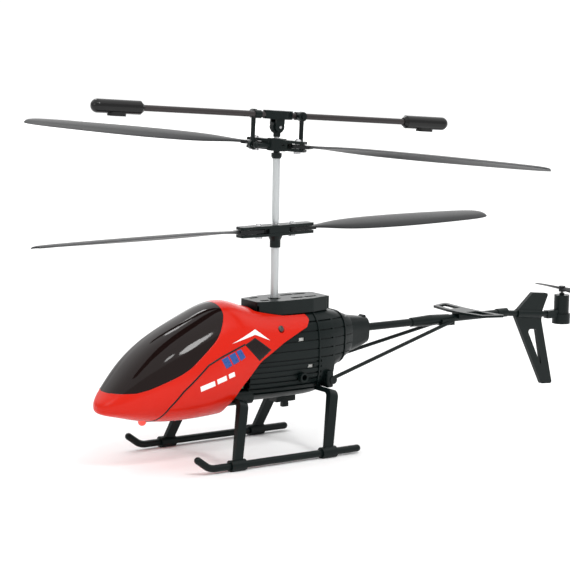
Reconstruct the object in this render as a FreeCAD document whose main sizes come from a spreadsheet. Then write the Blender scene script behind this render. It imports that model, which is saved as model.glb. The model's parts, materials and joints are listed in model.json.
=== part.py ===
import FreeCAD, Part
import math
import os
import re

# Coaxial toy helicopter. +X is the nose, +Y is port, +Z is up, and the skids stand on z = 0.
# Every piece is drawn with the main shaft on the Z axis, and its Placement moves it by shaft_x,
# so that the origin is under the middle of the overall length.

Vector = FreeCAD.Vector
Rotation = FreeCAD.Rotation
Placement = FreeCAD.Placement

DIMENSIONS = {
    "shaft_x": (22.1, "main shaft, forward of the middle of the overall length"),
    "wall": (1.0, "moulded wall thickness"),
    "running": (0.05, "radial running clearance"),
    # canopy and body
    "belly_z": (19.6, "underside of the frame"),
    "deck_top_z": (55.4, "top of the deck"),
    "deck_base_z": (50.4, "foot of the deck's skirt"),
    "frame_front_x": (29.0, "front end of the frame's tray"),
    "frame_rear_x": (-20.0, "rear end of the ribbed barrel"),
    "rib_pitch": (3.2, "spacing of the upper ribs"),
    "louvre_pitch": (2.0, "spacing of the lower louvres"),
    "rib_depth": (0.45, "depth of the grooves between ribs"),
    # tail
    "cone_rear_x": (-41.0, "rear end of the tail cone"),
    "boom_z": (41.1, "height of the tail boom"),
    "boom_radius": (1.45, "tail boom"),
    "sleeve_front_x": (-63.5, "front end of the boom sleeve"),
    "sleeve_rear_x": (-82.0, "rear end of the boom sleeve"),
    "joint_x": (-107.5, "joint of the boom's two parts"),
    "droop": (5.5, "droop of the rear boom, degrees"),
    "motor_x": (-140.4, "axis of the tail motor"),
    "tail_can_radius": (3.0, "tail motor"),
    "tail_can_low_z": (34.6, "lower end of the tail motor"),
    "tail_can_height": (11.2, "length of the tail motor"),
    "tail_rotor_radius": (15.0, "tail rotor"),
    "stabiliser_z": (42.9, "underside of the stabiliser"),
    "stabiliser_thickness": (0.9, "stabiliser plate"),
    "fin_thickness": (1.6, "fin plate"),
    # skids
    "skid_y": (22.6, "skid tube, from the middle"),
    "skid_z": (1.9, "axis of the skid tube"),
    "skid_radius": (1.3, "skid tube"),
    "skid_rear_x": (-21.6, "rear end of the skid tube"),
    "skid_bend_x": (40.6, "start of the skid's upturned toe"),
    "strut_front_x": (24.6, "front strut at the belly"),
    "strut_rear_x": (-14.7, "rear strut at the belly"),
    "strut_top_z": (22.2, "middle of the strut's crossbar"),
    "strut_lean": (17.0, "lean of the legs, degrees"),
    "strut_width": (3.6, "width of the flat legs"),
    "strut_thickness": (1.7, "thickness of the flat legs"),
    # drive
    "inner_radius": (1.0, "inner shaft"),
    "tube_radius": (1.45, "outer shaft"),
    "gear_teeth": (60, "teeth of each main gear"),
    "pinion_teeth": (10, "teeth of each pinion"),
    "gear_module": (0.3, "module of the gears"),
    "gear_width": (2.0, "face width of the gears"),
    "upper_gear_z": (29.5, "underside of the upper rotor's gear"),
    "lower_gear_z": (34.0, "underside of the lower rotor's gear"),
    "motor_base_z": (37.6, "lower end of the main motors"),
    "motor_height": (9.0, "length of the main motors"),
    "motor_radius": (3.0, "main motors"),
    "motor_angle": (27.0, "main motors, to each side of the nose, degrees"),
    # lower rotor
    "rotor_radius": (100.0, "both rotors"),
    "lower_yaw": (2.0, "lower rotor at rest, degrees"),
    "lower_hub_z": (78.2, "underside of the lower hub's plates"),
    "lower_grip_length": (16.2, "lower hub, from the shaft"),
    "lower_pivot_r": (7.5, "lower blade screws, from the shaft"),
    # upper rotor and balance bar
    "head_yaw": (-3.0, "balance bar at rest, degrees"),
    "head_tilt": (4.0, "balance bar at rest, nose end up, degrees"),
    "blade_yaw": (-54.0, "upper blades, from the balance bar, degrees"),
    "upper_hub_z": (108.5, "underside of the upper hub"),
    "upper_hub_height": (4.4, "upper hub"),
    "upper_pivot_r": (8.0, "upper blade screws, from the shaft"),
    "upper_grip_length": (11.0, "upper hub, from the shaft"),
    "bar_pivot_z": (117.0, "tilt axis of the balance bar"),
    "bar_z": (121.2, "axis of the balance bar's rod"),
    "bar_length": (75.0, "balance bar, from the shaft"),
    "bar_radius": (1.1, "balance bar rod"),
    "link_u": (8.6, "links, from the shaft along the balance bar"),
    "link_v": (2.5, "links, from the balance bar's middle plane"),
    "socket_radius": (1.7, "eyes of the links"),
}

doc = FreeCAD.newDocument("helicopter")
sheet = doc.addObject("Spreadsheet::Sheet", "Dims")
for row, (alias, (number, note)) in enumerate(DIMENSIONS.items(), start=1):
    sheet.set("A%d" % row, note)
    sheet.set("B%d" % row, str(number))
    sheet.setAlias("B%d" % row, alias)
doc.recompute()

NODES = []


# ---------------------------------------------------------------- helpers

def dim(alias):
    """A driving dimension, read from the sheet."""
    return float(sheet.get(alias))


def formula(text):
    """The expression with each alias pointed at the sheet."""
    return re.sub(r"\b[a-z_]+\b", lambda m: "Dims." + m.group(0) if m.group(0) in DIMENSIONS else m.group(0),
                  str(text))


def bind(obj, **properties):
    """Bind an object's properties to formulas in the driving dimensions."""
    for name, text in properties.items():
        obj.setExpression(name, formula(text))
    return obj


def put(obj, x=0, y=0, z=0, turn=None):
    """Place an object at a point given by formulas, turned by a fixed Rotation."""
    if turn is not None:
        obj.Placement = Placement(Vector(), turn)
    for axis, text in zip("xyz", (x, y, z)):
        obj.setExpression("Placement.Base." + axis, formula(text))
    return obj


ALONG_X = Rotation(Vector(0, 1, 0), 90)
ALONG_Y = Rotation(Vector(1, 0, 0), -90)


def cylinder(radius, height, x=0, y=0, z=0, turn=None):
    """A cylinder that starts at the point and runs up, or along the turned axis."""
    obj = bind(doc.addObject("Part::Cylinder", "Cylinder"), Radius=radius, Height=height)
    return put(obj, x, y, z, turn)


def cone(low_radius, high_radius, height, x=0, y=0, z=0, turn=None):
    """A cone that starts at the point."""
    obj = bind(doc.addObject("Part::Cone", "Cone"), Radius1=low_radius, Radius2=high_radius, Height=height)
    return put(obj, x, y, z, turn)


def box(length, width, height, x=0, y=0, z=0):
    """A box centred in Y, with its lowest X and Z at the point."""
    obj = bind(doc.addObject("Part::Box", "Box"), Length=length, Width=width, Height=height)
    return put(obj, x, "%s - (%s) / 2" % (y, width), z)


def ball(radius, x=0, y=0, z=0):
    """A sphere about the point."""
    return put(bind(doc.addObject("Part::Sphere", "Sphere"), Radius=radius), x, y, z)


def fuse(*shapes):
    """The union of the shapes."""
    obj = doc.addObject("Part::MultiFuse", "Fuse")
    obj.Shapes = list(shapes)
    return obj


def group(*shapes):
    """Separate solids that share one node."""
    obj = doc.addObject("Part::Compound", "Group")
    obj.Links = list(shapes)
    return obj


def cut(base, *tools):
    """The base less each tool in turn."""
    for tool in tools:
        obj = doc.addObject("Part::Cut", "Cut")
        obj.Base = base
        obj.Tool = tool
        base = obj
    return base


def feature(shape):
    """A feature that holds a shape made with Part's own functions."""
    obj = doc.addObject("Part::Feature", "Shape")
    obj.Shape = shape
    return obj


def node(label, obj, place=None):
    """Name a finished sub-part and move it from the shaft's frame to the row's frame."""
    if place is None:
        place = Placement()
    obj.Label = label
    doc.recompute()
    obj.Placement = Placement(Vector(dim("shaft_x"), 0, 0), Rotation()) * place * obj.Placement
    NODES.append(obj)
    return obj


def rounded(corners):
    """Closed curves through corners (a, b, radius), with an arc at each corner that has a radius."""
    count = len(corners)
    points = [Vector(a, b, 0) for a, b, _ in corners]
    ends = []
    for i, (_, _, radius) in enumerate(corners):
        before = (points[i - 1] - points[i]).normalize()
        after = (points[(i + 1) % count] - points[i]).normalize()
        half = before.getAngle(after) / 2
        reach = radius / math.tan(half) if radius else 0
        middle = (before + after).normalize() if radius else Vector()
        crown = points[i] + middle * (radius / math.sin(half) - radius) if radius else points[i]
        ends.append((points[i] + before * reach, crown, points[i] + after * reach))
    curves = []
    for i, (start, crown, finish) in enumerate(ends):
        if corners[i][2]:
            curves.append(Part.Arc(start, crown, finish))
        following = ends[(i + 1) % count][0]
        if finish.distanceToPoint(following) > 1e-6:
            curves.append(Part.LineSegment(finish, following))
    return curves


def mirrored(corners):
    """Corners (x, y, radius) of the starboard copy, in the order that carries on from the port ones."""
    return [(x, -y, radius) for x, y, radius in corners[::-1]]


def origin_plane(body, role):
    """One of a body's own origin planes."""
    return next(item for item in body.Origin.OriginFeatures if item.Role == role)


def sketch(body, role, curves, offset=None):
    """A sketch of the curves on one of the body's origin planes."""
    drawing = body.newObject("Sketcher::SketchObject", "Sketch")
    drawing.AttachmentSupport = [(origin_plane(body, role), "")]
    drawing.MapMode = "FlatFace"
    if offset is not None:
        drawing.AttachmentOffset = Placement(offset, Rotation())
    drawing.addGeometry(curves, False)
    return drawing


def plate(role, length, outline, holes=(), offset=None):
    """A PartDesign body: the outline padded evenly to both sides of the plane, then its holes."""
    body = doc.addObject("PartDesign::Body", "Body")
    pad = body.newObject("PartDesign::Pad", "Pad")
    pad.Profile = sketch(body, role, outline, offset)
    pad.SideType = "Symmetric"
    bind(pad, Length=length)
    doc.recompute()
    for hole in holes:
        solid = body.Shape.Volume
        pocket = body.newObject("PartDesign::Pocket", "Pocket")
        pocket.Profile = sketch(body, role, hole, offset)
        pocket.SideType = "Symmetric"
        bind(pocket, Length="4 * (%s)" % length)
        doc.recompute()
        if not body.Shape.Volume < solid:
            raise ValueError("a pocket cuts nothing")
    return body


def circle(a, b, radius):
    """A full circle for a sketch."""
    return [Part.Circle(Vector(a, b, 0), Vector(0, 0, 1), radius)]


def tube_body(role, path, offset, profile_role, profile_centre, profile_offset, radius):
    """A PartDesign pipe of a round section along a path."""
    body = doc.addObject("PartDesign::Body", "Body")
    spine = sketch(body, role, path, offset)
    ring = sketch(body, profile_role, circle(*profile_centre, radius), profile_offset)
    pipe = body.newObject("PartDesign::AdditivePipe", "Pipe")
    pipe.Profile = ring
    pipe.Spine = spine
    doc.recompute()
    return body


def superellipse(x, half_width, low, wide, high, power):
    """A closed section at x: flat-sided for a high power, with its widest point at height wide."""
    steps = 16
    points = []
    for i in range(steps):
        angle = 2 * math.pi * i / steps
        across, up = math.cos(angle), math.sin(angle)
        y = half_width * math.copysign(abs(across) ** (2 / power), across)
        rise = (high - wide) if up > 0 else (wide - low)
        z = wide + rise * math.copysign(abs(up) ** (2 / power), up)
        points.append(Vector(x, y, z))
    curve = Part.BSplineCurve()
    curve.interpolate(points, PeriodicFlag=True)
    return Part.Wire([curve.toShape()])


def smooth_solid(wires):
    """A cubic loft through closed sections."""
    return Part.makeLoft(wires, True, False, False, 3)


def loft(stations, inset=0, power=2.6):
    """A smooth solid through stations (x, half_width, low, wide, high), drawn in by an inset."""
    wires = [superellipse(x, w - inset, low + inset, wide, high - inset, power)
             for x, w, low, wide, high in stations]
    return smooth_solid(wires)


def prism(corners, half_width):
    """A side outline (x, z, radius) swept across the object."""
    face = Part.Face(Part.Wire([curve.toShape() for curve in rounded(corners)]))
    face.rotate(Vector(), Vector(1, 0, 0), 90)
    face.translate(Vector(0, half_width, 0))
    return face.extrude(Vector(0, -2 * half_width, 0))


# ---------------------------------------------------------------- canopy and windshield

# Stations of the canopy's outer surface: x, half width, lowest, widest and highest z.
CANOPY = [
    (74.4, 0.9, 21.9, 22.7, 23.6),
    (73.3, 3.8, 20.6, 22.9, 25.4),
    (70.6, 6.9, 19.7, 23.5, 28.4),
    (66.0, 9.9, 18.6, 24.8, 33.4),
    (59.0, 12.8, 17.0, 27.0, 40.2),
    (50.0, 14.8, 15.9, 28.6, 46.4),
    (38.0, 15.9, 15.8, 30.0, 52.2),
    (25.0, 15.9, 16.6, 32.0, 56.4),
    (18.0, 15.6, 17.3, 33.5, 55.0),
    (10.0, 15.0, 18.0, 35.0, 53.0),
    (-8.0, 14.2, 19.0, 37.0, 51.9),
    (-12.0, 13.9, 19.5, 37.4, 51.4),
]
NOSE_X = CANOPY[0][0]


def canopy_surface(inset):
    """The canopy's form, drawn in by an inset, with the nose moved back by the same amount."""
    stations = [(x - inset * max(0, (x - 60) / (NOSE_X - 60)), *rest) for x, *rest in CANOPY]
    stations = [(x, max(w, inset + 0.4), min(low, wide - inset - 0.4), wide, max(high, wide + inset + 0.4))
                for x, w, low, wide, high in stations]
    return loft(stations, inset, 2.35)


# Side outline of the canopy: belly, raked rear edge, side arm round the frame, roof.
CANOPY_SIDE = [
    (29.2, 8, 0), (28.6, 20.4, 1.5), (24.6, 27.2, 10), (16.2, 36.0, 10), (5.0, 41.7, 20), (-6.0, 46.0, 1.2),
    (-8.4, 48.6, 1.4), (-6.8, 51.6, 1.4), (8, 70, 0), (90, 70, 0), (90, 8, 0),
]
# Plan of the notch that lets the deck stand through the canopy, wider than the deck.
DECK_NOTCH = [(13.4, 6.2, 1.4), (2, 8.2, 5), (-30, 8.2, 0), (-30, -8.2, 0), (2, -8.2, 5), (13.4, -6.2, 1.4)]
# Side outline of the windshield, wider than the canopy at the top so that it wraps over the roof.
WINDSHIELD_SIDE = [
    (76, 27.8, 0), (64.5, 28.3, 28), (47.0, 34.6, 38), (33.0, 45.2, 22), (27.8, 53.2, 12), (26.9, 62, 0),
    (80, 62, 0), (80, 27.8, 0),
]
canopy_form = canopy_surface(0)
canopy_core = canopy_surface(dim("wall"))
notch_face = Part.Face(Part.Wire([curve.toShape() for curve in rounded(DECK_NOTCH)]))
notch_face.translate(Vector(0, 0, 40))
canopy_skin = canopy_form.cut(canopy_core).common(prism(CANOPY_SIDE, 30))
canopy_skin = canopy_skin.cut(notch_face.extrude(Vector(0, 0, 30)))
window = prism(WINDSHIELD_SIDE, 30)
canopy_shell = canopy_skin.cut(window)

light_x, light_z, light_radius, light_flange_z, light_flange_radius = 55.7, 16.0, 1.5, 17.8, 2.4
for radius, low_z in ((light_radius + 0.1, 10), (light_flange_radius, light_flange_z)):
    canopy_shell = canopy_shell.cut(Part.makeCylinder(radius, 9, Vector(light_x, 0, low_z)))
node("nose_light", fuse(
    ball(light_radius, x=light_x, z=light_z),
    cylinder(light_radius, light_flange_z - light_z, x=light_x, z=light_z),
    cylinder(light_flange_radius, 1.2, x=light_x, z=light_flange_z)))


def half_width_at(solid, x, z):
    """Half width of a solid's outer surface at a point of its side view."""
    ray = Part.makeLine(Vector(x, 0, z), Vector(x, 40, z))
    return solid.common(ray).BoundBox.YMax


def screw(x, y, z, direction, shank, radius=0.6, head=1.25):
    """A domed screw whose head seats at the point and whose shank runs against the direction."""
    axis = Vector(*direction)
    seat = Vector(x, y, z)
    crown = Part.makeCone(head, head * 0.6, 0.7, seat, axis)
    body = crown.fuse(Part.makeCylinder(radius, shank, seat - axis * shank, axis))
    bar = Part.makeBox(2.4, 0.3, 0.4, Vector(-1.2, -0.15, 0.4))
    cross = bar.fuse(bar.rotated(Vector(), Vector(0, 0, 1), 90))
    cross.Placement = Placement(seat, Rotation(Vector(0, 0, 1), axis))
    return body.cut(cross)


# The two canopy screws sit in spot faces on the side arms.
screw_x, screw_z, screw_radius, screw_head = 5.4, 46.2, 0.65, 1.25
screw_y = half_width_at(canopy_form, screw_x, screw_z) - 0.35
body_screws = []
for side in (1, -1):
    body_screws.append(screw(screw_x, side * screw_y, screw_z, (0, side, 0), 4.6, screw_radius, screw_head))
    seat = Vector(screw_x, side * screw_y, screw_z)
    outward = Vector(0, side, 0)
    canopy_shell = canopy_shell.cut(Part.makeCylinder(screw_head + 0.1, 5, seat, outward))
    canopy_shell = canopy_shell.cut(Part.makeCylinder(screw_radius, 10, seat, outward * -1))
node("canopy_shell", feature(canopy_shell))
node("windshield", feature(canopy_skin.common(window)))


# ---------------------------------------------------------------- skids

toe = [(dim("skid_rear_x"), dim("skid_z"), 0), (dim("skid_bend_x") + 1.6, dim("skid_z"), 7),
       (47.2, dim("skid_z") + 3.6, 0)]


def toe_path():
    """Centre line of a skid tube: straight, a bend and the upturned toe."""
    start, corner, tip = (Vector(a, b, 0) for a, b, _ in toe)
    ahead = (tip - corner).normalize()
    back = Vector(-1, 0, 0)
    half = ahead.getAngle(back) / 2
    radius = toe[1][2]
    reach = radius / math.tan(half)
    crown = corner + (ahead + back).normalize() * (radius / math.sin(half) - radius)
    return [Part.LineSegment(start, corner + back * reach),
            Part.Arc(corner + back * reach, crown, corner + ahead * reach),
            Part.LineSegment(corner + ahead * reach, tip)]


for label, side in (("skid_left", 1), ("skid_right", -1)):
    along = Vector(0, 0, -side * dim("skid_y"))
    tube = tube_body("XZ_Plane", toe_path(), along, "YZ_Plane", (side * dim("skid_y"), dim("skid_z")),
                     Vector(0, 0, dim("skid_rear_x")), dim("skid_radius"))
    rear_cap = ball("skid_radius", x="skid_rear_x", y=side * dim("skid_y"), z="skid_z")
    toe_cap = ball("skid_radius", x=toe[2][0], y=side * dim("skid_y"), z=toe[2][1])
    node(label, fuse(tube, rear_cap, toe_cap))


def arch(x):
    """A skid strut: a crossbar under the belly, two splayed legs, and a clamp at each foot."""
    thick, top_z, foot_y = dim("strut_thickness"), dim("strut_top_z"), dim("skid_y")
    shoulder = 16.2
    lean = math.radians(dim("strut_lean"))
    foot_drop = (top_z - dim("skid_z")) / math.cos(lean)
    run, fall = foot_y - shoulder, foot_drop
    across = thick / 2 / math.hypot(run, fall)
    dy, dz = fall * across, run * across
    half = thick / 2
    port_half = [(shoulder + dy + 0.6, half, 3.2), (foot_y + dy, -fall - dz, 0),
                 (foot_y - dy, -fall + dz, 0), (shoulder - dy, -half, 1.6)]
    outline = port_half + [(-y, z, corner) for y, z, corner in port_half[::-1]]
    bar = plate("YZ_Plane", "strut_width", rounded(outline))
    bar.Placement = Placement(Vector(x, 0, top_z), Rotation(Vector(0, 1, 0), -dim("strut_lean")))
    foot_x = x + (top_z - dim("skid_z")) * math.tan(lean)
    parts = [bar]
    bores = []
    for side in (1, -1):
        at_y = side * foot_y
        parts.append(cylinder("skid_radius + 0.8", 6.2, x=foot_x - 3.1, y=at_y, z="skid_z", turn=ALONG_X))
        bores.append(cylinder("skid_radius", 20, x=foot_x - 10, y=at_y, z="skid_z", turn=ALONG_X))
    return cut(fuse(*parts), *bores, box(80, 80, 5, x=-20, z=-5))


struts = [arch(dim("strut_front_x")), arch(dim("strut_rear_x"))]
doc.recompute()
strut_solids = [strut.Shape.copy() for strut in struts]
for label, strut in zip(("skid_strut_front", "skid_strut_rear"), struts):
    node(label, strut)


# ---------------------------------------------------------------- frame

# Stations of the ribbed barrel, of the rear housing and of the tail cone.
BARREL = [
    (17.0, 10.4, 19.7, 33.5, 50.3), (8.0, 11.4, 19.5, 34.0, 51.2),
    (-6.0, 11.7, 19.6, 34.5, 51.4), (-14.0, 11.5, 20.2, 35.0, 51.2), (-20.0, 10.6, 22.6, 35.5, 50.6),
]
REAR_HOUSING = [
    (-20.0, 10.2, 27.0, 38.0, 50.4), (-26.0, 8.6, 30.0, 39.0, 49.0), (-31.0, 6.6, 32.6, 40.0, 47.2),
]
TAIL_CONE = [
    (-31.0, 6.0, 32.9, 40.0, 46.8), (-36.0, 4.8, 33.9, 40.2, 46.1),
    (dim("cone_rear_x"), 3.7, 35.6, 40.6, 45.3),
]


def body_loft(stations, inset):
    """A squarish loft through the body's stations, drawn in by an inset."""
    return loft(stations, inset, 2.9)


def grooves(stations, depth, low_z, high_z, pitch, height):
    """Thin level rings cut into the surface of a loft."""
    ring = body_loft(stations, -0.5).cut(body_loft(stations, depth))
    count = int((high_z - low_z) / pitch) + 1
    slabs = [Part.makeBox(80, 60, height, Vector(-60, -30, low_z + i * pitch)) for i in range(count)]
    return ring.common(Part.makeCompound(slabs))


def hoop(stations, x):
    """A narrow raised band round a loft, half sunk in it."""
    band = Part.makeBox(0.6, 80, 80, Vector(x, -40, 0))
    return body_loft(stations, -0.35).cut(body_loft(stations, 0.3)).common(band)


wall = dim("wall")
barrel = body_loft(BARREL, 0)
tray = Part.makeBox(dim("frame_front_x") - 15, 19, 5.4, Vector(15, -9.5, dim("belly_z")))
tray = tray.makeFillet(2.2, [edge for edge in tray.Edges if abs(edge.tangentAt(0).x) > 0.9])
tray_core = Part.makeBox(dim("frame_front_x") - 16, 17, 10, Vector(14, -8.5, dim("belly_z") + 1))
barrel_hollow = body_loft(BARREL, wall).fuse(Part.makeBox(6, 15, 22, Vector(14, -7.5, 22)))
body_shell = barrel.cut(barrel_hollow).fuse(tray).cut(tray_core)
upper_ribs = grooves(BARREL, dim("rib_depth"), 34.2, 50, dim("rib_pitch"), 0.5)
lower_ribs = grooves(BARREL, dim("rib_depth"), 22.6, 33, dim("louvre_pitch"), 0.8)
front_of_seam = Part.makeBox(60, 60, 60, Vector(-13.4, -30, 0))
seam = hoop(BARREL, -12.6).common(Part.makeBox(20, 60, 40, Vector(-20, -30, 24)))
body_shell = body_shell.cut(upper_ribs).cut(lower_ribs.common(front_of_seam)).fuse(seam)
socket_x, socket_z = -4.6, 27.8
for slot_x, slot_z in ((-4.4, 40.8), (-8.6, 30.8)):
    slot = Part.makeBox(2.6, 60, 1.3, Vector(slot_x - 1.3, -30, slot_z))
    body_shell = body_shell.cut(slot)
body_shell = body_shell.cut(Part.makeCylinder(1.8, 30, Vector(socket_x, 0, socket_z), Vector(0, 1, 0)))
for x, z in ((-10.5, 24.4), (-10.8, 46.4), (-16.8, 40.2)):
    body_screws.append(screw(x, -half_width_at(barrel, x, z) + 0.1, z, (0, -1, 0), 1.0))
deck_opening = Part.makeBox(24, 9, 8, Vector(-12, -4.5, 46))
switch_opening = Part.makeBox(4.4, 1.6, 4, Vector(-6.6, -0.8, 18))
body_shell = body_shell.cut(deck_opening).cut(switch_opening)
bulkhead = barrel.common(Part.makeBox(wall, 60, 60, Vector(dim("frame_rear_x"), -30, 0)))
body_shell = body_shell.fuse(bulkhead)
for solid in [*strut_solids, *body_screws]:
    body_shell = body_shell.cut(solid)
node("body_screws", feature(Part.makeCompound(body_screws)))
port_side = Part.makeBox(120, 40, 80, Vector(-60, 0, 0))
star_side = Part.makeBox(120, 40, 80, Vector(-60, -40, 0))
node("frame_left", feature(body_shell.common(port_side)))
node("frame_right", feature(body_shell.common(star_side)))

rear_shell = body_loft(REAR_HOUSING, 0).cut(body_loft(REAR_HOUSING, wall))
rear_ribs = grooves(REAR_HOUSING, 0.3, 34.2, 50, dim("rib_pitch"), 0.4)
rear_shell = rear_shell.cut(rear_ribs).cut(barrel).fuse(hoop(REAR_HOUSING, -26.4))
node("rear_housing", feature(rear_shell))
cone_shell = body_loft(TAIL_CONE, 0)
cone_bore = Part.makeCylinder(dim("boom_radius"), 8, Vector(-42.5, 0, dim("boom_z")), Vector(1, 0, 0))
cone_shell = cone_shell.cut(cone_bore)
cone_knob = Part.makeCylinder(0.9, 2.4, Vector(-40.2, -1.2, 45.2), Vector(0, 1, 0))
node("tail_cone", feature(cone_shell.fuse(cone_knob)))

PORT_DECK = [(11.2, 5.3, 1.2), (2, 7.6, 5), (-12, 7.6, 4), (-20.4, 5.4, 1.5)]
DECK_PLAN = PORT_DECK + mirrored(PORT_DECK)
DECK_SLOTS = [(-13.6, 2.6), (-7.8, 2.6), (6.6, 1.8)]
deck_height = dim("deck_top_z") - dim("deck_base_z")
deck_middle = dim("deck_base_z") + deck_height / 2


def deck_slot(x, half_length, y):
    """A rounded slot along the deck."""
    return rounded([(x - half_length, y + 0.9, 0.5), (x + half_length, y + 0.9, 0.5),
                    (x + half_length, y - 0.9, 0.5), (x - half_length, y - 0.9, 0.5)])


slots = [deck_slot(x, half_length, y) for x, half_length in DECK_SLOTS for y in (3.5, -3.5)]
deck = plate("XY_Plane", "deck_top_z - deck_base_z", rounded(DECK_PLAN), [*slots, circle(0, 0, 2.3)],
             Vector(0, 0, deck_middle))
deck_hollow = box(24, 11, 3.6, x=-13, z="deck_base_z - 0.1")
barrel_tool = feature(barrel)
deck_posts = [cylinder(0.8, 4.6, x=-20.4, y=y, z="deck_base_z + 0.2") for y in (4.4, -4.4)]
housing_tool = feature(body_loft(REAR_HOUSING, 0))
node("top_deck", cut(
    fuse(deck, *deck_posts), deck_hollow, cylinder(2.3, 10, z=48), barrel_tool, housing_tool))
node("top_bearing", cut(fuse(cylinder(2.3, 4.0, z=51.6), cylinder(3.6, 0.6, z="deck_base_z + 0.6")),
                        cylinder("tube_radius + running", 12, z=48)))


# ---------------------------------------------------------------- things in and on the frame

node("charging_socket", cut(
    fuse(cylinder(1.7, 4.2, x=socket_x, y=9.0, z=socket_z, turn=ALONG_Y),
         cylinder(2.2, 0.6, x=socket_x, y=9.0, z=socket_z, turn=ALONG_Y)),
    cylinder(1.05, 4.0, x=socket_x, y=9.9, z=socket_z, turn=ALONG_Y)))
node("switch_housing", cut(box(8.4, 4.4, 2.5, x=-8.6, z=17.3), box(5.2, 1.8, 4, x=-7.0, z=17.0), barrel_tool))
node("switch_knob", fuse(box(2.6, 1.2, 3.8, x=-6.6, z=15.4), box(2.6, 1.6, 1.4, x=-6.6, z=15.0)))
node("battery", group(box(19, 13, 8.6, x=20.6, z=27.4)))
node("circuit_board", fuse(box(27, 16, 1.0, x=18.5, z=25.4), box(5, 6, 1.0, x=22, z=24.4),
                           box(3, 4, 1.0, x=34, y=4, z=24.4)))
node("base_bearing", cut(fuse(cylinder(2.6, 4.0, z=24.2), box(17, 17.2, 1.0, x=-8.5, z=24.2)),
                         cylinder("inner_radius + running", 6, z=24.9)))


def from_motor(index):
    """Centre of one main motor: port first, then starboard."""
    angle = math.radians(dim("motor_angle")) * (1 if index == 0 else -1)
    reach = dim("gear_module") * (dim("gear_teeth") + dim("pinion_teeth")) / 2
    return reach * math.cos(angle), reach * math.sin(angle)


mount_plate = box(22, 19.0, 0.9, x=-7.5, z="motor_base_z - 0.9")
for side in (0, 1):
    motor_at_x, motor_at_y = from_motor(side)
    mount_plate = cut(mount_plate, cylinder(1.2, 4, x=motor_at_x, y=motor_at_y, z="motor_base_z - 2"))
node("motor_mount", cut(mount_plate, cylinder(2.4, 4, z="motor_base_z - 2")))
for side, label in enumerate(("motor_left", "motor_right")):
    motor_at_x, motor_at_y = from_motor(side)
    node(label, cut(
        cylinder("motor_radius", "motor_height", x=motor_at_x, y=motor_at_y, z="motor_base_z"),
        cylinder(0.45, 6, x=motor_at_x, y=motor_at_y, z="motor_base_z - 0.5")))


def toothed(teeth, bore, width, phase=0):
    """A spur gear with straight-flanked teeth, thin enough to leave backlash."""
    module = dim("gear_module")
    pitch_radius = module * teeth / 2
    root, tip = pitch_radius - 1.2 * module, pitch_radius + 0.8 * module
    points = []
    for i in range(int(teeth)):
        centre = phase + 2 * math.pi * i / teeth
        for radius, share in ((root, -0.30), (tip, -0.12), (tip, 0.12), (root, 0.30)):
            angle = centre + 2 * math.pi / teeth * share
            points.append(Vector(radius * math.cos(angle), radius * math.sin(angle), 0))
    rim = Part.Face(Part.makePolygon(points + points[:1]))
    return rim.extrude(Vector(0, 0, width)).cut(Part.makeCylinder(bore, width))


def main_gear(bore, z):
    """A main gear with a hub and a ring of lightening holes."""
    width = dim("gear_width")
    gear = toothed(dim("gear_teeth"), bore, width, math.radians(dim("motor_angle")))
    web = Part.makeCylinder(7.4, width / 2, Vector(0, 0, width / 2)).cut(Part.makeCylinder(3.0, width))
    gear = gear.cut(web)
    for i in range(6):
        angle = math.radians(60 * i + 30)
        hole = Part.makeCylinder(1.4, width, Vector(5.2 * math.cos(angle), 5.2 * math.sin(angle), 0))
        gear = gear.cut(hole)
    gear.translate(Vector(0, 0, z))
    return gear


def pinion(index, gear_z, top_z):
    """A pinion pressed on a motor shaft that reaches up into the motor."""
    x, y = from_motor(index)
    teeth = dim("pinion_teeth")
    toward = math.atan2(y, x) + math.pi + math.pi / teeth
    width = dim("gear_width") + 0.6
    wheel = toothed(teeth, 0.3, width, toward)
    wheel.translate(Vector(x, y, gear_z - 0.3))
    shaft = Part.makeCylinder(0.4, top_z - gear_z + 0.8, Vector(x, y, gear_z - 0.8))
    return wheel.fuse(shaft)


node("lower_gear", feature(main_gear(dim("tube_radius"), dim("lower_gear_z"))))
node("upper_gear", feature(main_gear(dim("inner_radius"), dim("upper_gear_z"))))
pinion_top = dim("motor_base_z") + 5
node("pinion_left", feature(pinion(0, dim("lower_gear_z"), pinion_top)))
node("pinion_right", feature(pinion(1, dim("upper_gear_z"), pinion_top)))


# ---------------------------------------------------------------- tail

node("tail_boom", group(cylinder("boom_radius", "cone_rear_x + 2 - joint_x", x="cone_rear_x + 2", z="boom_z",
                                 turn=Rotation(Vector(0, 1, 0), -90))))
boom_along = Rotation(Vector(0, 1, 0), -90)
droop = Rotation(Vector(0, 1, 0), -90 - dim("droop"))
aft_run = dim("joint_x") - dim("motor_x") - dim("tail_can_radius") - 0.9
aft_length = aft_run / math.cos(math.radians(dim("droop")))
aft_boom = fuse(cylinder(1.15, aft_length, x="joint_x", z="boom_z", turn=droop),
                cylinder(1.75, 5.0, x="joint_x + 1.2", z="boom_z", turn=boom_along))
node("aft_boom", cut(aft_boom, cylinder("boom_radius", 4, x="joint_x + 4", z="boom_z", turn=boom_along)))


def aft_z(x):
    """Height of the rear boom's axis."""
    return dim("boom_z") + (x - dim("joint_x")) * math.tan(math.radians(dim("droop")))


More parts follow.
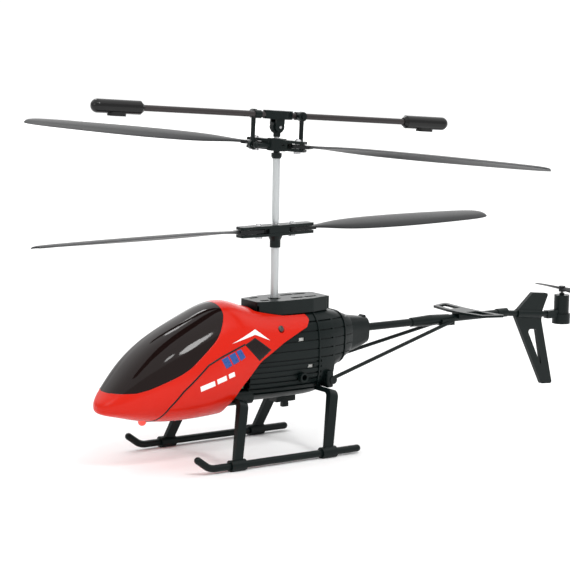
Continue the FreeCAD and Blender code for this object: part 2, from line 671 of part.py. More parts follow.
brackets = []
boom_struts = []
for label, side in (("boom_strut_left", 1), ("boom_strut_right", -1)):
    foot, head = Vector(-17.6, side * 11.2, 25.6), Vector(-82.0, side * 2.3, 40.3)
    rod = Part.makeCylinder(0.7, (head - foot).Length, foot, head - foot)
    block = Part.makeBox(2.8, 4.4, 6.2, foot + Vector(-0.6, -2.2 - side * 0.8, -2.8))
    block = block.makeFillet(0.7, block.Edges)
    lug = Part.makeCylinder(1.5, 3.4, foot + Vector(-0.3, -1.7, 0), Vector(0, 1, 0))
    brackets.append(block.fuse(lug).cut(rod).cut(barrel))
    boom_struts.append(feature(rod.copy()))
    node(label, feature(rod))
node("strut_brackets", feature(Part.makeCompound(brackets)))

half_sleeve = "(sleeve_front_x - sleeve_rear_x) / 2"
sleeve = fuse(
    cone(1.75, 2.15, half_sleeve, x="sleeve_front_x", z="boom_z", turn=boom_along),
    cone(2.15, 1.7, half_sleeve, x="(sleeve_front_x + sleeve_rear_x) / 2", z="boom_z", turn=boom_along),
    box(6, 5.4, 2.4, x="sleeve_rear_x - 1", z="boom_z - 2.2"))
boom_bore = cylinder("boom_radius", 60, x="sleeve_front_x + 10", z="boom_z", turn=boom_along)
node("boom_sleeve", cut(sleeve, boom_bore, *boom_struts))

PORT_STABILISER = [(-84.6, 4, 2), (-86.4, 14.6, 0.8), (-95.2, 17.8, 0.8), (-93.6, 4, 2)]
PORT_OPENING = [(-86.6, 4.6, 0.5), (-87.9, 13.2, 0.5), (-92.6, 14.9, 0.5), (-91.8, 4.6, 0.5)]

STABILISER = PORT_STABILISER + mirrored(PORT_STABILISER)
openings = [rounded(PORT_OPENING), rounded(mirrored(PORT_OPENING))]
stabiliser_middle = dim("stabiliser_z") + dim("stabiliser_thickness") / 2
stabiliser = plate("XY_Plane", "stabiliser_thickness", rounded(STABILISER), openings,
                   Vector(0, 0, stabiliser_middle))
saddle = box(7, 4.4, "stabiliser_z - boom_z + 0.4", x=-92.6, z="boom_z - 0.2")
node("horizontal_stabiliser", cut(fuse(stabiliser, saddle),
                                  cylinder("boom_radius", 12, x=-84, z="boom_z", turn=boom_along)))

FIN = [(-116.2, 41.2, 1), (-124.3, 48.0, 0.6), (-132.6, 47.1, 0.8), (-129.6, 40.4, 1), (-129.2, 36.6, 1),
       (-136.0, 10.6, 0.8), (-130.2, 11.0, 0.8), (-115.4, 39.2, 1)]
FIN_OPENING = [(-121.9, 33.6, 1.0), (-126.7, 33.2, 0.9), (-130.3, 17.4, 0.25)]
fin = plate("XZ_Plane", "fin_thickness", rounded(FIN), [rounded(FIN_OPENING)])
fin_sleeve = cylinder(1.75, 12.4, x=-116.6, z=aft_z(-116.6), turn=droop)
node("vertical_fin", cut(fuse(fin, fin_sleeve), cylinder(1.15, 40, x=-106, z=aft_z(-106), turn=droop)))

motor_arm_z = aft_z(dim("motor_x") + 6)
holder = fuse(
    cylinder("tail_can_radius + 0.6", 4.0, x="motor_x", z="tail_can_low_z - 0.2"),
    box(5.6, 2.6, 3.0, x="motor_x + 2.6", z=motor_arm_z - 1.5))
node("tail_motor_holder", cut(
    holder, cylinder("tail_can_radius", 16, x="motor_x", z="tail_can_low_z + 0.3"),
    cylinder(1.2, 3, x="motor_x", z="tail_can_low_z - 1"),
    cylinder(1.15, 30, x=-115, z=aft_z(-115), turn=droop)))
node("tail_motor", cut(
    fuse(cylinder("tail_can_radius", "tail_can_height - 0.3", x="motor_x", z="tail_can_low_z + 0.3"),
         cylinder(1.0, 0.8, x="motor_x", z="tail_can_low_z + tail_can_height")),
    cylinder(0.45, 8, x="motor_x", z="tail_can_low_z + tail_can_height - 6")))


# ---------------------------------------------------------------- blades

ROOT_THICKNESS = 1.2
ROOT_WIDTH = 4.6
# Blade stations past the flat root: share of the blade's length, chord, thickness, pitch in degrees.
BLADE = [
    (0.00, 4.2, 1.0, 1), (0.04, 4.8, 1.0, 4), (0.10, 7.4, 1.0, 9), (0.20, 10.6, 1.0, 12),
    (0.35, 12.6, 0.95, 12.5), (0.50, 13.4, 0.9, 12), (0.65, 13.4, 0.9, 11), (0.80, 12.8, 0.85, 10),
    (0.92, 11.6, 0.8, 9), (0.97, 9.8, 0.8, 8.5), (1.0, 6.4, 0.7, 8),
]


def blade_section(x, chord, thickness, pitch, z, sense):
    """A cambered lens section, leading edge up, on the +Y side when sense is 1."""
    points = []
    for i in range(10):
        angle = 2 * math.pi * i / 10
        y = chord / 2 * math.cos(angle)
        rise = thickness / 2 * math.sin(angle) + 0.06 * chord * (pitch > 0) * math.sin(angle) ** 2
        tilt = math.radians(pitch)
        points.append(Vector(x, sense * (y * math.cos(tilt) - rise * math.sin(tilt)),
                             z + y * math.sin(tilt) + rise * math.cos(tilt)))
    curve = Part.BSplineCurve()
    curve.interpolate(points, PeriodicFlag=True)
    return Part.Wire([curve.toShape()])


def blade(pivot_r, flat_to, z, sense):
    """One main blade along +X: an eye round its screw, a flat root and a twisted blade."""
    start = flat_to - 1
    wires = [blade_section(start + share * (dim("rotor_radius") - start), chord, thickness, pitch, z, sense)
             for share, chord, thickness, pitch in BLADE]
    wing = smooth_solid(wires)
    eye = Part.makeCylinder(ROOT_WIDTH / 2, ROOT_THICKNESS, Vector(pivot_r, 0, z - ROOT_THICKNESS / 2))
    flat = Part.makeBox(flat_to - pivot_r, ROOT_WIDTH, ROOT_THICKNESS,
                        Vector(pivot_r, -ROOT_WIDTH / 2, z - ROOT_THICKNESS / 2))
    hole = Part.makeCylinder(0.6 + dim("running"), 4, Vector(pivot_r, 0, z - 2))
    return eye.fuse(flat).fuse(wing).cut(hole)


def turned(angle):
    """A turn about the main shaft."""
    return Placement(Vector(), Rotation(Vector(0, 0, 1), angle))


def tilted(height):
    """The balance bar's rest tilt, nose end up, about the level axis at a height."""
    return Placement(Vector(), Rotation(Vector(0, -1, 0), dim("head_tilt")), Vector(0, 0, height))


def grip(length, half_width, low, high, plate_thickness, block, pivot_r):
    """A blade holder along X: a centre block between two long plates, bored for the blade screws."""
    tip = half_width * 0.78
    port_half = [(length, tip, 0.8), (block, half_width, 6), (-block, half_width, 6), (-length, tip, 0.8)]
    outline = rounded(port_half + mirrored(port_half))
    lower = plate("XY_Plane", plate_thickness, outline, (), Vector(0, 0, low + plate_thickness / 2))
    upper = plate("XY_Plane", plate_thickness, outline, (), Vector(0, 0, high - plate_thickness / 2))
    middle = box(2 * block, 2 * half_width - 0.4, high - low, x=-block, z=low)
    bores = [cylinder(0.6, 20, x=side * pivot_r, z=low - 5) for side in (1, -1)]
    return fuse(lower, upper, middle), bores


def blade_screws(pivot_r, low, high):
    """The two blade screws, with their heads on the upper plate and a nut boss below."""
    solids = []
    for side in (1, -1):
        post = screw(side * pivot_r, 0, high, (0, 0, 1), high - low + 0.5, 0.6, 1.3)
        nut = Part.makeCylinder(1.3, 0.8, Vector(side * pivot_r, 0, low - 0.8))
        solids.append(post.fuse(nut))
    return Part.makeCompound(solids)


# ---------------------------------------------------------------- lower rotor

low, high = dim("lower_hub_z"), dim("lower_hub_z") + 3.8
lower_turn = turned(dim("lower_yaw"))
holder, bores = grip(dim("lower_grip_length"), 2.8, low, high, 1.0, 4.5, dim("lower_pivot_r"))
collar = fuse(cylinder(1.95, 4.6, z="lower_hub_z - 4.4"), cone(1.95, 2.75, 1.8, z="lower_hub_z - 1.8"))
shaft_bore = cylinder("tube_radius", 12, z="lower_hub_z - 5")
node("lower_hub", cut(fuse(holder, collar), *bores, shaft_bore), lower_turn)
node("lower_blade_screws", feature(blade_screws(dim("lower_pivot_r"), low, high)), lower_turn)
node("outer_shaft", cut(
    cylinder("tube_radius", "lower_hub_z - lower_gear_z + 4.2", z="lower_gear_z - 0.4"),
    cylinder("inner_radius + running", 60, z="lower_gear_z - 2")), lower_turn)
for i, name in enumerate("ab"):
    solid = blade(dim("lower_pivot_r"), dim("lower_grip_length") + 0.8, (low + high) / 2, 1)
    node("lower_blade_" + name, feature(solid), turned(dim("lower_yaw") + 180 * i))


# ---------------------------------------------------------------- upper rotor

head_turn = turned(dim("head_yaw"))
hub_middle = dim("upper_hub_z") + dim("upper_hub_height") / 2
hub_place = head_turn * tilted(hub_middle)
bar_place = head_turn * tilted(dim("bar_pivot_z"))
shaft_top = 114.6
cross_hole = cylinder(0.42, 6, y=-3, z=hub_middle, turn=ALONG_Y)
node("inner_shaft", cut(cylinder("inner_radius", "%s - 25.3" % shaft_top, z=25.3), cross_hole), head_turn)
node("shaft_sleeve", cut(
    fuse(cone(1.12, 1.32, 1.8, z="lower_hub_z + 4.3"),
         cylinder(1.32, "100.9 - lower_hub_z", z="lower_hub_z + 6.1")),
    cylinder("inner_radius", 60, z=70)), head_turn)
node("head_collar", cut(
    fuse(cylinder(1.9, 1.2, z=106.5), cone(1.6, 1.9, 0.7, z=105.8), cylinder(1.15, 2.0, z=107.2)),
    cylinder("inner_radius", 10, z=104), cylinder(1.32, 3, z=104.0)), head_turn)
node("rotor_head", cut(
    fuse(cylinder(1.3, 3.0, z=113.5), cylinder(2.35, 2.2, y=-1.1, z="bar_pivot_z", turn=ALONG_Y)),
    cylinder("inner_radius", 1.6, z=113), cylinder("0.5 + running", 8, y=-4, z="bar_pivot_z", turn=ALONG_Y)),
    head_turn)

low, high = dim("upper_hub_z") + 0.3, dim("upper_hub_z") + dim("upper_hub_height") - 0.3
holder, bores = grip(dim("upper_grip_length"), 2.7, low, high, 1.0, 5.0, dim("upper_pivot_r"))
blade_turn = Rotation(Vector(0, 0, 1), dim("blade_yaw"))
holder = cut(holder, *bores)
holder.Placement = Placement(Vector(), blade_turn)
eye_z = hub_middle - 0.5
arms = []
for side in (1, -1):
    start = 2.4 if side == 1 else "-link_u"
    arms.append(cylinder(0.85, "link_u - 2.4", x=start, z=eye_z, turn=ALONG_X))
    arms.append(ball(1.15, x="%d * link_u" % side, z=eye_z))
    stud_y = "-(link_v + 1.3)" if side == 1 else 0
    arms.append(cylinder(0.6, "link_v + 1.3", x="%d * link_u" % side, y=stud_y, z=eye_z, turn=ALONG_Y))
core = cylinder(3.4, "upper_hub_height", z="upper_hub_z")
shaft_slot = box(4.1, 2.4, 10, x=-2.05, z="upper_hub_z - 2")
node("upper_hub", cut(fuse(holder, core, *arms), shaft_slot,
                      cylinder(0.35, 10, y=-5, z=hub_middle, turn=ALONG_Y)), hub_place)
node("hub_pivot_pin", group(cylinder(0.35, 6.4, y=-3.2, z=hub_middle, turn=ALONG_Y)), hub_place)
screw_set = feature(blade_screws(dim("upper_pivot_r"), low, high))
node("upper_blade_screws", screw_set, hub_place * turned(dim("blade_yaw")))
for i, name in enumerate("ab"):
    solid = blade(dim("upper_pivot_r"), 13.0, hub_middle, -1)
    node("upper_blade_" + name, feature(solid), hub_place * turned(dim("blade_yaw") + 180 * i))


# ---------------------------------------------------------------- balance bar and links

def bar_cylinder():
    """The balance bar's rod, and the hole it leaves in the weights."""
    return cylinder("bar_radius", "2 * (bar_length - 12)", x="12 - bar_length", z="bar_z", turn=ALONG_X)


PORT_DIAMOND = [(5.8, 1.0, 0.6), (2.4, 2.7, 2), (-2.4, 2.7, 2), (-5.8, 1.0, 0.6)]
diamond = rounded(PORT_DIAMOND + mirrored(PORT_DIAMOND))
bar_hub = plate("XY_Plane", 3.0, diamond, (), Vector(0, 0, dim("bar_z") + 0.1))
ears = [cylinder(1.8, 0.8, y=start, z="bar_pivot_z", turn=ALONG_Y) for start in (1.4, -2.2)]
cheeks = [box(3.4, 0.8, "bar_z - 1.2 - bar_pivot_z", x=-1.7, y=y, z="bar_pivot_z") for y in (1.8, -1.8)]
rod_bore = cylinder("bar_radius", 40, x=-20, z="bar_z", turn=ALONG_X)
node("bar_hub", cut(fuse(bar_hub, *ears, *cheeks), rod_bore,
                    cylinder(0.5, 10, y=-5, z="bar_pivot_z", turn=ALONG_Y)), bar_place)
node("bar_pivot_pin", group(cylinder(0.5, 5.0, y=-2.5, z="bar_pivot_z", turn=ALONG_Y)), bar_place)
node("bar_rod", group(bar_cylinder()), bar_place)
studs = []
for side in (1, -1):
    collar = cylinder(1.45, 2.6, x="%d * link_u - 1.3" % side, z="bar_z", turn=ALONG_X)
    stud_y = "-(link_v + 1.3)" if side == 1 else 1.2
    stud = cylinder(0.6, "link_v + 0.1", x="%d * link_u" % side, y=stud_y, z="bar_z", turn=ALONG_Y)
    studs.append(cut(fuse(collar, stud), rod_bore))
node("link_studs", group(*studs), bar_place)


def end_weight(side):
    """A streamlined weight on the end of the balance bar, with an oval plug under its middle."""
    weight_radius, reach, length = 2.45, dim("bar_length"), 20
    plug_x, plug_height = side * (reach - length / 2), 3.2
    port_plug = [(plug_x + 3.4, 1.7, 1.5), (plug_x - 3.4, 1.7, 1.5)]
    plug_outline = rounded(port_plug + mirrored(port_plug))
    near, far = reach - length, reach - weight_radius
    start = near + 1.2 if side == 1 else -far
    body = fuse(
        cylinder(weight_radius, far - near - 1.2, x=start, z="bar_z", turn=ALONG_X),
        ball(weight_radius, x=side * far, z="bar_z"),
        cone(1.5, weight_radius, 1.3, x=side * near, z="bar_z",
             turn=Rotation(Vector(0, 1, 0), 90 * side)),
        plate("XY_Plane", plug_height, plug_outline, (), Vector(0, 0, dim("bar_z") - plug_height / 2)))
    return cut(body, bar_cylinder())


node("bar_weight_front", end_weight(1), bar_place)
node("bar_weight_rear", end_weight(-1), bar_place)


def link(side):
    """A link from the balance bar down to the upper hub: two eyes and a thin rod."""
    x, middle_y = side * dim("link_u"), -side * dim("link_v")
    start_y = middle_y - 0.85
    length = dim("bar_z") - eye_z
    eyes = [cylinder("socket_radius", 1.7, x=x, y=start_y, z=z, turn=ALONG_Y) for z in (dim("bar_z"), eye_z)]
    rod = cylinder(0.8, length - 2, x=x, y=middle_y, z=eye_z + 1)
    return cut(fuse(rod, *eyes), cylinder("0.6 + running", 4, x=x, y=start_y - 1, z="bar_z", turn=ALONG_Y),
               cylinder(1.0, 4, x=x, y=start_y - 1, z=eye_z, turn=ALONG_Y))


# A link leans with the bar by the share of the tilt that the two eyes' heights give it.
link_share = (dim("bar_z") - dim("bar_pivot_z") - (eye_z - hub_middle)) / (dim("bar_z") - eye_z)
for name, side in (("link_front", 1), ("link_rear", -1)):
    eye = Vector(side * dim("link_u"), 0, dim("bar_z"))
    back = Placement(Vector(), Rotation(Vector(0, -1, 0), -(1 - link_share) * dim("head_tilt")), eye)
    node(name, link(side), bar_place * back)


# ---------------------------------------------------------------- tail rotor

# Stations of the tail rotor's blades: share of the radius, chord, thickness, pitch in degrees.
TAIL_BLADE = [
    (0.0, 2.2, 1.2, 6), (0.2, 2.8, 0.9, 22), (0.53, 4.2, 0.7, 18), (0.87, 3.8, 0.6, 14), (1.0, 2.0, 0.5, 12),
]


def tail_rotor():
    """A two-bladed tail rotor on its shaft, above the tail motor."""
    hub_z = dim("tail_can_low_z") + dim("tail_can_height") + 1.3
    wires = [blade_section(share * dim("tail_rotor_radius"), chord, thickness, pitch, hub_z + 1.1, 1)
             for share, chord, thickness, pitch in TAIL_BLADE]
    wing = smooth_solid(wires)
    other = wing.rotated(Vector(), Vector(0, 0, 1), 180)
    hub = Part.makeCylinder(1.3, 2.2, Vector(0, 0, hub_z))
    shaft = Part.makeCylinder(0.4, 6.2, Vector(0, 0, hub_z - 5.4))
    return wing.fuse(other).fuse(hub).fuse(shaft).removeSplitter()


tail_place = Placement(Vector(dim("motor_x"), 0, 0), Rotation(Vector(0, 0, 1), 90))
node("tail_rotor", feature(tail_rotor()), tail_place)


# ---------------------------------------------------------------- check and write

def write_nodes():
    """Check every object and write each sub-part to its own file."""
    doc.recompute()
    for obj in doc.Objects:
        if "Invalid" in obj.State or "Error" in obj.State:
            raise ValueError("%s is %s" % (obj.Label, obj.State))
    os.makedirs("parts", exist_ok=True)
    whole = FreeCAD.BoundBox()
    for obj in NODES:
        shape = obj.Shape
        if shape.isNull() or not shape.isValid() or not shape.Solids:
            raise ValueError("%s has no valid solid" % obj.Label)
        whole.add(shape.BoundBox)
        shape.exportStep("parts/%s.step" % obj.Label)
        print("%-24s solids %2d  volume %9.2f mm3" % (obj.Label, len(shape.Solids), shape.Volume))
    print("nodes %d, box %s, middle %s" % (len(NODES), whole, whole.Center))


write_nodes()
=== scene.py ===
import json
import math

import bmesh
import bpy
from mathutils import Matrix, Vector
from mathutils.bvhtree import BVHTree


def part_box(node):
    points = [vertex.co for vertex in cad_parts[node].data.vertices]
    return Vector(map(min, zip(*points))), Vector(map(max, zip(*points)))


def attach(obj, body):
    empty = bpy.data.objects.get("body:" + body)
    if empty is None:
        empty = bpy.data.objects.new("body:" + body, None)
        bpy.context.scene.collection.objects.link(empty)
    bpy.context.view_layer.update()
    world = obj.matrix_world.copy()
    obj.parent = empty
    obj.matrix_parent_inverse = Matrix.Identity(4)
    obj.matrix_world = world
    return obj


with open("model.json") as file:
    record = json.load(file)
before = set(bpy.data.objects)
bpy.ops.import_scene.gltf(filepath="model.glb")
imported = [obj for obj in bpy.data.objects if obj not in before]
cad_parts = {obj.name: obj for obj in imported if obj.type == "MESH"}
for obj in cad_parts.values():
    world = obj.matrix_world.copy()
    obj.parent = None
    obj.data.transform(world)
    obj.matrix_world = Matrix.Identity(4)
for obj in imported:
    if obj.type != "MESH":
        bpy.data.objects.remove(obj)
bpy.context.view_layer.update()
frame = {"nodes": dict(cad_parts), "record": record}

MM = 0.001
NODES = frame["nodes"]

# The main shaft stands this far forward of the origin; the canopy's drawing is measured from it.
SHAFT_X = (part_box("outer_shaft")[0].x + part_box("outer_shaft")[1].x) / 2 / MM


def paint(mesh, material):
    """Give a mesh one material."""
    mesh.materials.clear()
    mesh.materials.append(material)


# ---------------------------------------------------------------- camera and light

# The camera's turn from port towards the nose, its height and its roll, in degrees.
AZIMUTH, ELEVATION, ROLL = 35.78, 8.54, 0.97
TARGET = (SHAFT_X - 4.7, 0, 59.7)
CAMERA_DISTANCE = 0.8
FOCAL_LENGTH, SENSOR_WIDTH = 139.9, 36


def add_camera():
    """A long lens, a little above the machine, from the port side of the nose."""
    azimuth, elevation, roll = (math.radians(angle) for angle in (AZIMUTH, ELEVATION, ROLL))
    target = Vector(TARGET) * MM
    toward = Vector((math.sin(azimuth) * math.cos(elevation), math.cos(azimuth) * math.cos(elevation),
                     math.sin(elevation)))
    level = Vector((0, 0, 1)).cross(toward).normalized()
    right = math.cos(roll) * level + math.sin(roll) * toward.cross(level)
    up = toward.cross(right)
    data = bpy.data.cameras.new("camera")
    data.lens = FOCAL_LENGTH
    data.sensor_width = SENSOR_WIDTH
    data.clip_start = 0.01
    camera = bpy.data.objects.new("camera", data)
    rotation = Matrix((right, up, toward)).transposed().to_4x4()
    camera.matrix_world = Matrix.Translation(target + CAMERA_DISTANCE * toward) @ rotation
    bpy.context.scene.collection.objects.link(camera)
    bpy.context.scene.camera = camera


MIDDLE = Vector((0, 0, 0.06))
FLOOR_SIZE = 60
SURROUND_STRENGTH = 0.75
OVERHEAD_PLACE, OVERHEAD_SPREAD, OVERHEAD_STRENGTH = (-0.1, -0.2, 1), 120, 1.45
# Round lights: name, place, diameter and power. The key lights and the streak are mirrored in the
# windshield, and the back light in the deck.
ROUND_LIGHTS = [
    ("key", (-0.03, 0.60, 0.73), 0.20, 2.2),
    ("key_low", (0.20, 0.52, 0.77), 0.11, 0.5),
    ("roof_streak", (-0.03, -0.55, 0.74), 0.18, 0.7),
    ("back", (-0.86, -1.2, 0.30), 0.9, 2.0),
    ("fill", (0.9, 0.05, 0.45), 0.4, 0.9),
]


def hang(name, data, place):
    """A lamp at a place, turned to the middle of the machine."""
    lamp = bpy.data.objects.new(name, data)
    lamp.location = place
    lamp.rotation_euler = (MIDDLE - Vector(place)).to_track_quat("-Z", "Y").to_euler()
    bpy.context.scene.collection.objects.link(lamp)


def add_lights():
    """One very broad light from above, even over the whole floor, and the round lights."""
    overhead = bpy.data.lights.new("overhead", "SUN")
    overhead.angle = math.radians(OVERHEAD_SPREAD)
    overhead.energy = OVERHEAD_STRENGTH
    hang("overhead", overhead, OVERHEAD_PLACE)
    for name, place, size, power in ROUND_LIGHTS:
        data = bpy.data.lights.new(name, "AREA")
        data.shape = "DISK"
        data.size = size
        data.energy = power
        hang(name, data, place)


def add_studio():
    """A wide pale floor, an even pale surround and soft lights."""
    bpy.ops.mesh.primitive_plane_add(size=FLOOR_SIZE, location=(0, 0, 0))
    floor = bpy.context.object
    floor.name = "floor"
    paper = bpy.data.materials.new("floor_paper")
    paper.use_nodes = True
    shader = paper.node_tree.nodes["Principled BSDF"]
    shader.inputs["Base Color"].default_value = (0.9, 0.9, 0.9, 1)
    shader.inputs["Roughness"].default_value = 0.9
    paint(floor.data, paper)
    world = bpy.data.worlds.new("studio")
    world.use_nodes = True
    world.node_tree.nodes["Background"].inputs["Color"].default_value = (1, 1, 1, 1)
    world.node_tree.nodes["Background"].inputs["Strength"].default_value = SURROUND_STRENGTH
    bpy.context.scene.world = world
    add_lights()
    bpy.context.scene.view_settings.view_transform = "Standard"


# ---------------------------------------------------------------- materials

# How far the fine texture moves the roughness either way, as a share of it.
ROUGHNESS_SPREAD = 0.15


def shader_of(material):
    """The material's Principled shader."""
    return material.node_tree.nodes["Principled BSDF"]


def plastic(name, colour, roughness, grain=0.03, scale=900, variation=0.12, coat=0.0, metallic=0.0,
            gloss=0.5):
    """A moulded surface: slow colour variation, fine texture in bump and roughness."""
    material = bpy.data.materials.new(name)
    material.use_nodes = True
    tree = material.node_tree
    shader = shader_of(material)
    place = tree.nodes.new("ShaderNodeTexCoord")
    broad = tree.nodes.new("ShaderNodeTexNoise")
    broad.inputs["Scale"].default_value = 60
    broad.inputs["Detail"].default_value = 3
    mix = tree.nodes.new("ShaderNodeMix")
    mix.data_type = "RGBA"
    light = [min(1, c * (1 + variation)) for c in colour]
    dark = [c * (1 - variation) for c in colour]
    mix.inputs["A"].default_value = (*dark, 1)
    mix.inputs["B"].default_value = (*light, 1)
    fine = tree.nodes.new("ShaderNodeTexNoise")
    fine.inputs["Scale"].default_value = scale
    fine.inputs["Detail"].default_value = 4
    span = tree.nodes.new("ShaderNodeMapRange")
    span.inputs["To Min"].default_value = roughness * (1 - ROUGHNESS_SPREAD)
    span.inputs["To Max"].default_value = min(1, roughness * (1 + ROUGHNESS_SPREAD))
    bump = tree.nodes.new("ShaderNodeBump")
    bump.inputs["Strength"].default_value = grain
    bump.inputs["Distance"].default_value = 0.0002
    link = tree.links.new
    link(place.outputs["Object"], broad.inputs["Vector"])
    link(place.outputs["Object"], fine.inputs["Vector"])
    link(broad.outputs["Fac"], mix.inputs["Factor"])
    link(mix.outputs["Result"], shader.inputs["Base Color"])
    link(fine.outputs["Fac"], span.inputs["Value"])
    link(span.outputs["Result"], shader.inputs["Roughness"])
    link(fine.outputs["Fac"], bump.inputs["Height"])
    link(bump.outputs["Normal"], shader.inputs["Normal"])
    shader.inputs["Metallic"].default_value = metallic
    shader.inputs["Specular IOR Level"].default_value = gloss
    shader.inputs["Coat Weight"].default_value = coat
    shader.inputs["Coat Roughness"].default_value = 0.05
    return material


def light_lens():
    """The nose light: clear red with a lit core."""
    material = plastic("red_light", (0.9, 0.03, 0.02), 0.12, 0.0, coat=0.6)
    shader = shader_of(material)
    shader.inputs["Emission Color"].default_value = (1.0, 0.06, 0.03, 1)
    shader.inputs["Emission Strength"].default_value = 0.6
    return material


FINISHES = {
    "red_plastic": plastic("red_plastic", (0.585, 0.0105, 0.0015), 0.24, 0.02, coat=0.06, variation=0.05,
                           gloss=0.2),
    "tinted_gloss": plastic("tinted_gloss", (0.009, 0.0045, 0.004), 0.06, 0.004, gloss=0.2),
    "red_light": light_lens(),
    "black_plastic": plastic("black_plastic", (0.0030, 0.0066, 0.0064), 0.36, 0.10, scale=2200,
                             gloss=0.18),
    "gloss_black": plastic("gloss_black", (0.006, 0.006, 0.006), 0.18, 0.01, coat=0.08, gloss=0.25),
    "blade_plastic": plastic("blade_plastic", (0.007, 0.008, 0.009), 0.40, 0.05, scale=1600, gloss=0.2),
    "grey_tube": plastic("grey_tube", (0.47, 0.49, 0.495), 0.34, 0.05, scale=1500, metallic=0.35),
    "dark_rod": plastic("dark_rod", (0.028, 0.023, 0.023), 0.30, 0.03, gloss=0.3),
    "steel": plastic("steel", (0.52, 0.52, 0.53), 0.26, 0.04, metallic=1.0),
    "brass": plastic("brass", (0.62, 0.43, 0.16), 0.30, 0.04, metallic=1.0),
    "white_plastic": plastic("white_plastic", (0.72, 0.72, 0.69), 0.40, 0.04),
    "cell_wrap": plastic("cell_wrap", (0.020, 0.022, 0.028), 0.28, 0.08),
    "board_green": plastic("board_green", (0.015, 0.12, 0.05), 0.35, 0.06),
}


def dress_cad_nodes():
    """Give each CAD node the finish of its record slot."""
    for part in frame["record"]["subparts"]:
        paint(NODES[part["node"]].data, FINISHES[part["material_slot"]])
    # The screws get a darker steel than their own: painted shade of the recesses they sit in.
    recess_shaded_steel = plastic("recess_shaded_steel", (0.10, 0.095, 0.09), 0.32, 0.04, metallic=0.8)
    paint(NODES["body_screws"].data, recess_shaded_steel)
    paint(NODES["tail_motor"].data, FINISHES["black_plastic"])


# ---------------------------------------------------------------- drawing on the moulded surfaces

# The rays that find a surface start this far out on either side, in metres.
RAY_START = 0.06


def tree_of(*names):
    """A search tree over the surfaces of CAD nodes."""
    mesh = bmesh.new()
    for name in names:
        mesh.from_mesh(NODES[name].data)
    tree = BVHTree.FromBMesh(mesh)
    mesh.free()
    return tree


def touch(tree, x, z, side):
    """The outer surface point and its normal at a point of the side view, in millimetres from the shaft."""
    start = Vector(((x + SHAFT_X) * MM, side * RAY_START, z * MM))
    place, normal, _, _ = tree.ray_cast(start, Vector((0, -side, 0)))
    return place, normal


def mesh_of(name, shape):
    """A mesh made from a bmesh, which is freed."""
    mesh = bpy.data.meshes.new(name)
    shape.to_mesh(mesh)
    shape.free()
    return mesh


def piece(name, mesh, material, body):
    """A new object that rides on a body."""
    thing = bpy.data.objects.new(name, mesh)
    bpy.context.scene.collection.objects.link(thing)
    paint(mesh, material)
    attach(thing, body)


FOIL_STEP = 0.7
FOIL_PASSES = 7
FOIL_THICKNESS = 0.04


def fine_outline(outline):
    """A flat bmesh of an outline, cut into triangles no longer than the foil's step."""
    flat = bmesh.new()
    flat.faces.new([flat.verts.new((x, z, 0)) for x, z in outline])
    bmesh.ops.triangulate(flat, faces=flat.faces[:])
    for _ in range(FOIL_PASSES):
        coarse = [edge for edge in flat.edges if edge.calc_length() > FOIL_STEP]
        if not coarse:
            break
        bmesh.ops.subdivide_edges(flat, edges=coarse, cuts=1)
        bmesh.ops.triangulate(flat, faces=flat.faces[:])
    flat.verts.index_update()
    return flat


def foil(name, tree, outlines, material, lift=0.05):
    """Thin foils laid on both flanks: side-view outlines wrapped over the surface."""
    shape = bmesh.new()
    for side in (1, -1):
        for outline in outlines:
            flat = fine_outline(outline)
            tops = {}
            for vert in flat.verts:
                place, normal = touch(tree, vert.co.x, vert.co.y, side)
                if place is not None:
                    tops[vert.index] = shape.verts.new(place + normal * lift * MM)
            for face in flat.faces:
                corners = [tops[vert.index] for vert in face.verts if vert.index in tops]
                if len(corners) == 3:
                    shape.faces.new(corners)
            flat.free()
    bmesh.ops.recalc_face_normals(shape, faces=shape.faces[:])
    bmesh.ops.solidify(shape, geom=shape.faces[:], thickness=FOIL_THICKNESS * MM)
    mesh = mesh_of(name, shape)
    mesh.shade_smooth()
    piece(name, mesh, material, "airframe")


def cord_mesh(name, runs, radius):
    """Round beads along runs of points."""
    line = bpy.data.curves.new(name, "CURVE")
    line.dimensions = "3D"
    line.bevel_depth = radius * MM
    line.bevel_resolution = 3
    line.use_fill_caps = True
    for run in runs:
        spline = line.splines.new("POLY")
        spline.points.add(len(run) - 1)
        for point, place in zip(spline.points, run):
            point.co = (*place, 1)
    holder = bpy.data.objects.new(name, line)
    bpy.context.scene.collection.objects.link(holder)
    bpy.context.view_layer.update()
    mesh = bpy.data.meshes.new_from_object(holder.evaluated_get(bpy.context.evaluated_depsgraph_get()))
    bpy.data.objects.remove(holder)
    return mesh


def along(points, step):
    """A polyline's points at an even step."""
    run = []
    for (x0, z0), (x1, z1) in zip(points, points[1:]):
        count = max(1, int(math.hypot(x1 - x0, z1 - z0) / step))
        run += [(x0 + (x1 - x0) * i / count, z0 + (z1 - z0) * i / count) for i in range(count)]
    return run + [points[-1]]


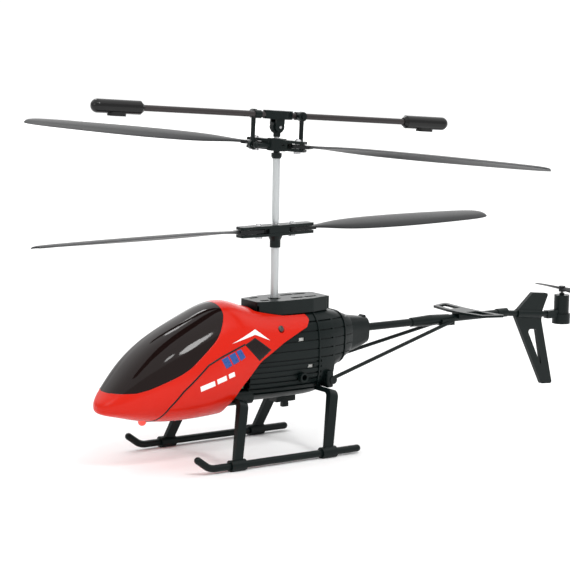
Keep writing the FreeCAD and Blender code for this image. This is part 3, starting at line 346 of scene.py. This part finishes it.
# Side-view drawing on the canopy: x forward of the shaft and height, in millimetres.
PANEL_LINE = [
    (56.6, 16.9), (55.3, 18.3), (52.9, 23.0), (48.2, 28.4), (42.7, 33.0), (38.2, 36.8), (32.7, 39.2),
    (27.6, 41.0), (22.8, 42.6),
]
DARK_BAND = [(22.8, 42.5), (18.1, 44.5), (11.4, 39.7), (16.9, 36.3)]
CHEVRON = [[(28.1, 43.3), (17.3, 47.3), (17.8, 45.5)], [(17.3, 47.3), (11.6, 43.0), (17.8, 45.5)]]
STRIPES = [
    [(33.1, 38.3), (30.5, 39.3), (28.7, 35.9), (31.2, 34.9)],
    [(29.9, 39.5), (27.4, 40.4), (25.6, 37.0), (28.1, 36.0)],
    [(26.8, 40.6), (24.7, 41.2), (22.9, 38.2), (25.0, 37.1)],
]
DASHES = [
    [(41.9, 29.6), (36.1, 31.2), (35.7, 29.4), (41.5, 27.8)],
    [(35.2, 31.5), (31.3, 32.6), (30.9, 30.9), (34.8, 29.8)],
    [(30.4, 32.9), (27.9, 33.6), (27.5, 32.0), (30.0, 31.3)],
]
WINDSHIELD_EDGE = [
    (70.6, 28.03), (68.0, 28.15), (64.5, 28.45), (60.0, 29.7), (56.0, 31.25), (52.0, 32.75), (48.5, 34.2),
    (45.0, 36.05), (41.5, 38.7), (38.0, 41.4), (35.0, 43.75), (33.2, 45.4), (31.5, 47.5), (29.6, 50.4),
    (28.3, 52.6),
]
BEAD_STEP = 0.6


def bead(name, tree, line, material, radius, sink):
    """A round bead along a side-view line on both flanks, sunk a little into the surface."""
    runs = []
    for side in (1, -1):
        hits = [touch(tree, x, z, side) for x, z in along(line, BEAD_STEP)]
        runs.append([place - normal * sink * MM for place, normal in hits if place is not None])
    piece(name, cord_mesh(name, runs, radius), material, "airframe")


def decorate_canopy():
    """Stripes, chevrons, the moulded panel line and the windshield's seam."""
    tree = tree_of("canopy_shell", "windshield")
    white = plastic("print_white", (0.86, 0.86, 0.84), 0.28, 0.02, variation=0.03)
    blue = plastic("print_blue", (0.010, 0.062, 0.27), 0.28, 0.02, variation=0.06)
    dark = plastic("print_dark", (0.007, 0.003, 0.003), 0.26, 0.02, variation=0.08, gloss=0.25)
    foil("canopy_chevrons", tree, CHEVRON, white, lift=0.07)
    foil("canopy_band", tree, [DARK_BAND], dark)
    foil("canopy_stripes", tree, STRIPES, blue)
    foil("canopy_dashes", tree, DASHES, white)
    bead("canopy_panel_line", tree, PANEL_LINE, dark, radius=0.4, sink=0.2)
    bead("windshield_seam", tree, WINDSHIELD_EDGE, FINISHES["red_plastic"], radius=0.2, sink=0.1)


def block(shape, centre, size):
    """Add a box to a bmesh, in millimetres from the shaft."""
    x, y, z = centre
    spot = Matrix.Translation(Vector((x + SHAFT_X, y, z)) * MM)
    scale = Matrix.Diagonal((*(Vector(size) * MM), 1))
    bmesh.ops.create_cube(shape, size=1, matrix=spot @ scale)


# Middles of the frame's slots in the side view, the size of the inserts that close them, and how far
# under the frame's surface the inserts lie.
FRAME_SLOTS = [(-4.4, 41.45), (-8.6, 31.45)]
INSERT_SIZE = (2.58, 0.5, 1.28)
INSERT_DEPTH = 0.9
ABOVE_SLOT = 1.3
PAD_MIDDLE, PAD_SIZE, PAD_ROUNDING = (18.9, 0, 31.6), (3.0, 12.4, 8.4), 0.5


def fit_out_frame():
    """Pale inserts behind the frame's slots, and a foam pad between the frame and the battery."""
    tree = tree_of("frame_left", "frame_right")
    inserts = bmesh.new()
    for side in (1, -1):
        for x, z in FRAME_SLOTS:
            place, _ = touch(tree, x, z + ABOVE_SLOT, side)
            block(inserts, (x, place.y / MM - side * INSERT_DEPTH, z), INSERT_SIZE)
    piece("slot_inserts", mesh_of("slot_inserts", inserts), FINISHES["white_plastic"], "airframe")
    pad = bmesh.new()
    block(pad, PAD_MIDDLE, PAD_SIZE)
    bmesh.ops.bevel(pad, geom=pad.edges[:], offset=PAD_ROUNDING * MM, segments=3, profile=0.5,
                    affect="EDGES")
    foam = plastic("foam", (0.012, 0.012, 0.013), 0.85, 0.3, scale=3000, gloss=0.1)
    piece("battery_pad", mesh_of("battery_pad", pad), foam, "airframe")


add_camera()
add_studio()
dress_cad_nodes()
decorate_canopy()
fit_out_frame()
